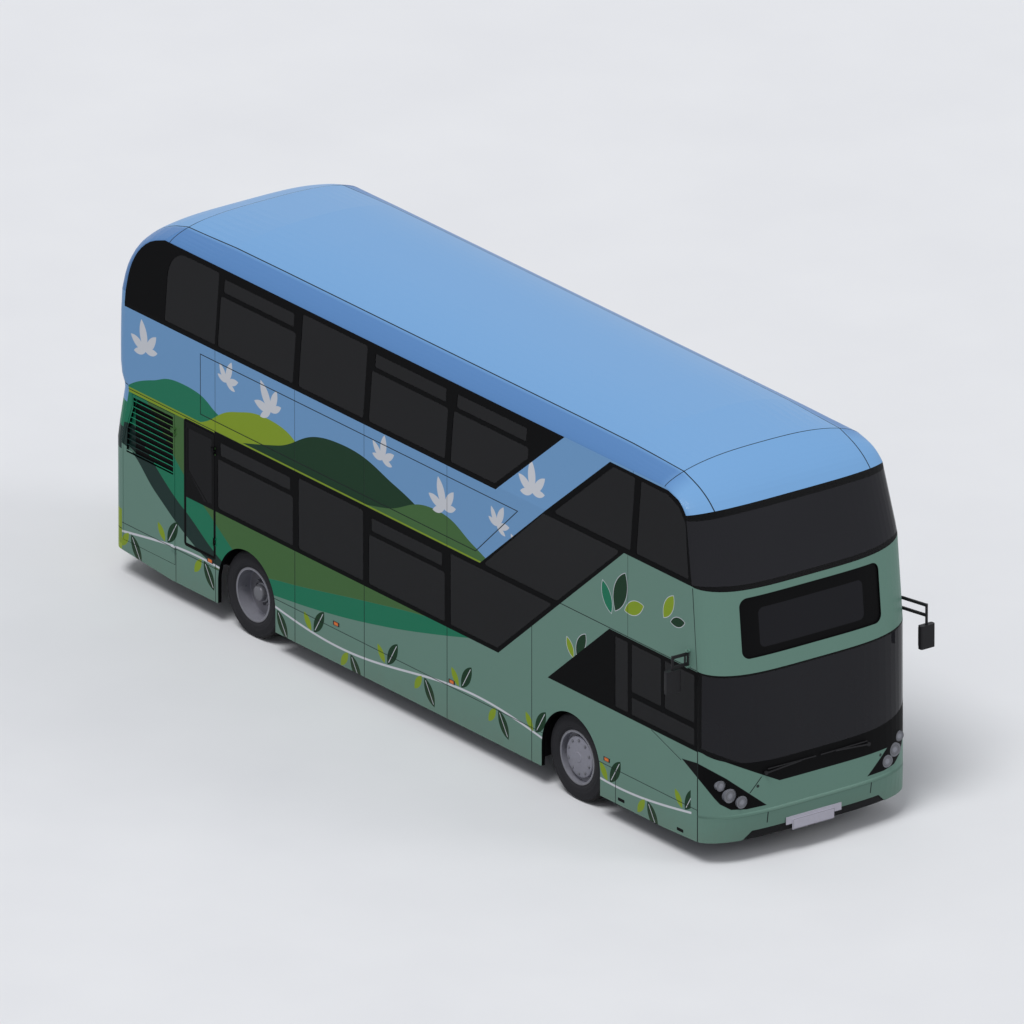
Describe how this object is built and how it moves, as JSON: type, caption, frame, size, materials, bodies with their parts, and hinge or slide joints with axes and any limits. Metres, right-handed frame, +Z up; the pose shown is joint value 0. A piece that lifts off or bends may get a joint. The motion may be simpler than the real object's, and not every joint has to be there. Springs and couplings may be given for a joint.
{
  "type": "double decker bus",
  "caption": "Two-deck city bus with a stepped band of stair glazing, inward gliding entrance doors, steered front wheels, twin rear wheels and hinged service doors.",
  "frame": {"origin": "on the ground, in the middle of the length and the width", "axes": "+X forward, +Y to the left of the vehicle (its nearside), +Z up"},
  "size_m": [10.28, 3.046, 4.13],
  "materials": {
    "painted": "gloss coach paint",
    "trim": "black trim",
    "glazing": "dark tinted",
    "chassis": "black chassis paint",
    "floor": "vinyl flooring",
    "metal": "silver-grey paint",
    "tyre": "rubber",
    "engine": "grey",
    "lamp": "clear lens",
    "lamp_red": "red lens",
    "plate": "blank white plate",
    "lamp_amber": "amber lens",
    "seat": "moquette"
  },
  "bodies": {
    "root": {"offside_lower_panels": "painted", "nearside_lower_panels": "painted", "offside_upper_panels": "painted", "nearside_upper_panels": "painted", "roof": "painted", "front_dome": "painted", "rear_dome": "painted", "front_bumper": "painted", "front_mask": "painted", "destination_panel": "painted", "rear_lower_panel": "painted", "rear_upper_panel": "painted", "offside_window_bands": "trim", "nearside_window_bands": "trim", "driver_cab": "trim", "lower_grille": "trim", "number_plate": "plate", "marker_lamps": "lamp_amber", "offside_glass": "glazing", "nearside_glass": "glazing", "windscreen": "glazing", "upper_windscreen": "glazing", "rear_window": "glazing", "chassis_frame": "chassis", "front_axle": "chassis", "rear_axle": "chassis", "wipers": "chassis", "lower_floor": "floor", "wheel_boxes": "floor", "upper_floor": "floor", "staircase": "floor", "handrails": "metal", "engine": "engine", "headlamps": "lamp", "rear_lamps": "lamp_red", "passenger_seats": "seat", "driver_seat": "seat"},
    "wheel_fl": {"wheel_front_left": "metal", "tyre_front_left": "tyre"},
    "wheel_fr": {"wheel_front_right": "metal", "tyre_front_right": "tyre"},
    "wheel_rl": {"wheel_rear_left": "metal", "tyres_rear_left": "tyre"},
    "wheel_rr": {"wheel_rear_right": "metal", "tyres_rear_right": "tyre"},
    "knuckle_l": {"knuckle_left": "chassis"},
    "knuckle_r": {"knuckle_right": "chassis"},
    "tie_rod": {"tie_rod": "chassis"},
    "hand_wheel": {"steering_wheel": "trim"},
    "door_arm_front": {"door_post_front": "metal"},
    "door_arm_rear": {"door_post_rear": "metal"},
    "door_front": {"door_leaf_front": "trim"},
    "door_rear": {"door_leaf_rear": "trim"},
    "emergency_exit": {"emergency_door": "painted"},
    "service_hatch": {"service_door": "painted"},
    "engine_lid": {"engine_cover": "painted"},
    "mirror_l": {"mirror_left": "trim"},
    "mirror_r": {"mirror_right": "trim"}
  },
  "joints": [
    {"name": "steering", "type": "hinge", "parent": "root", "child": "knuckle_r", "pos_m": [2.732, -0.9615, 0.457], "axis": [0, 0, 1], "range_deg": [-38, 38]},
    {"name": "steering_left", "type": "hinge", "parent": "root", "child": "knuckle_l", "pos_m": [2.732, 0.9615, 0.457], "axis": [0, 0, 1], "range_deg": [-38, 38]},
    {"name": "tie_rod_joint", "type": "hinge", "parent": "knuckle_l", "child": "tie_rod", "pos_m": [2.462, 0.8865, 0.201], "axis": [0, 0, 1], "range_deg": [-41, 41]},
    {"name": "hand_wheel_turn", "type": "hinge", "parent": "root", "child": "hand_wheel", "pos_m": [4.495, -0.76, 1.12], "axis": [-0.5736, 0, 0.8192], "range_deg": [-570, 570]},
    {"name": "spin_fl", "type": "hinge", "parent": "knuckle_l", "child": "wheel_fl", "pos_m": [2.732, 1.0715, 0.457], "axis": [0, 1, 0], "continuous": true},
    {"name": "spin_fr", "type": "hinge", "parent": "knuckle_r", "child": "wheel_fr", "pos_m": [2.732, -1.0715, 0.457], "axis": [0, 1, 0], "continuous": true},
    {"name": "spin_rl", "type": "hinge", "parent": "root", "child": "wheel_rl", "pos_m": [-2.714, 1.0715, 0.457], "axis": [0, 1, 0], "continuous": true},
    {"name": "spin_rr", "type": "hinge", "parent": "root", "child": "wheel_rr", "pos_m": [-2.714, -1.0715, 0.457], "axis": [0, 1, 0], "continuous": true},
    {"name": "door_front_arm", "type": "hinge", "parent": "root", "child": "door_arm_front", "pos_m": [4.69, 1.1925, 0.32], "axis": [0, 0, 1], "range_deg": [0, 85]},
    {"name": "door_front_leaf", "type": "hinge", "parent": "door_arm_front", "child": "door_front", "pos_m": [4.3495, 1.2525, 0.35], "axis": [0, 0, 1], "range_deg": [-170, 0]},
    {"name": "door_rear_arm", "type": "hinge", "parent": "root", "child": "door_arm_rear", "pos_m": [3.39, 1.1925, 0.32], "axis": [0, 0, -1], "range_deg": [0, 85]},
    {"name": "door_rear_leaf", "type": "hinge", "parent": "door_arm_rear", "child": "door_rear", "pos_m": [3.7305, 1.2525, 0.35], "axis": [0, 0, -1], "range_deg": [-170, 0]},
    {"name": "emergency_hinge", "type": "hinge", "parent": "root", "child": "emergency_exit", "pos_m": [-3.258, -1.284, 1.4], "axis": [0, 0, 1], "range_deg": [0, 100]},
    {"name": "service_hinge", "type": "hinge", "parent": "root", "child": "service_hatch", "pos_m": [-3.931, -1.284, 1.2], "axis": [0, 0, 1], "range_deg": [0, 100]},
    {"name": "engine_lid_hinge", "type": "hinge", "parent": "root", "child": "engine_lid", "pos_m": [-5.113, 0, 1.446], "axis": [0, 1, 0], "range_deg": [0, 75]},
    {"name": "mirror_fold_l", "type": "hinge", "parent": "root", "child": "mirror_l", "pos_m": [4.695, 1.297, 2.105], "axis": [0, 0, 1], "range_deg": [0, 60]},
    {"name": "mirror_fold_r", "type": "hinge", "parent": "root", "child": "mirror_r", "pos_m": [4.695, -1.297, 2.105], "axis": [0, 0, -1], "range_deg": [0, 60]}
  ],
  "couplings": [
    {"joint": "steering_left", "follows": "steering", "ratio": 1},
    {"joint": "tie_rod_joint", "follows": "steering", "ratio": -1.077},
    {"joint": "hand_wheel_turn", "follows": "steering", "ratio": 15},
    {"joint": "door_front_leaf", "follows": "door_front_arm", "ratio": -2},
    {"joint": "door_rear_leaf", "follows": "door_rear_arm", "ratio": -2}
  ]
}
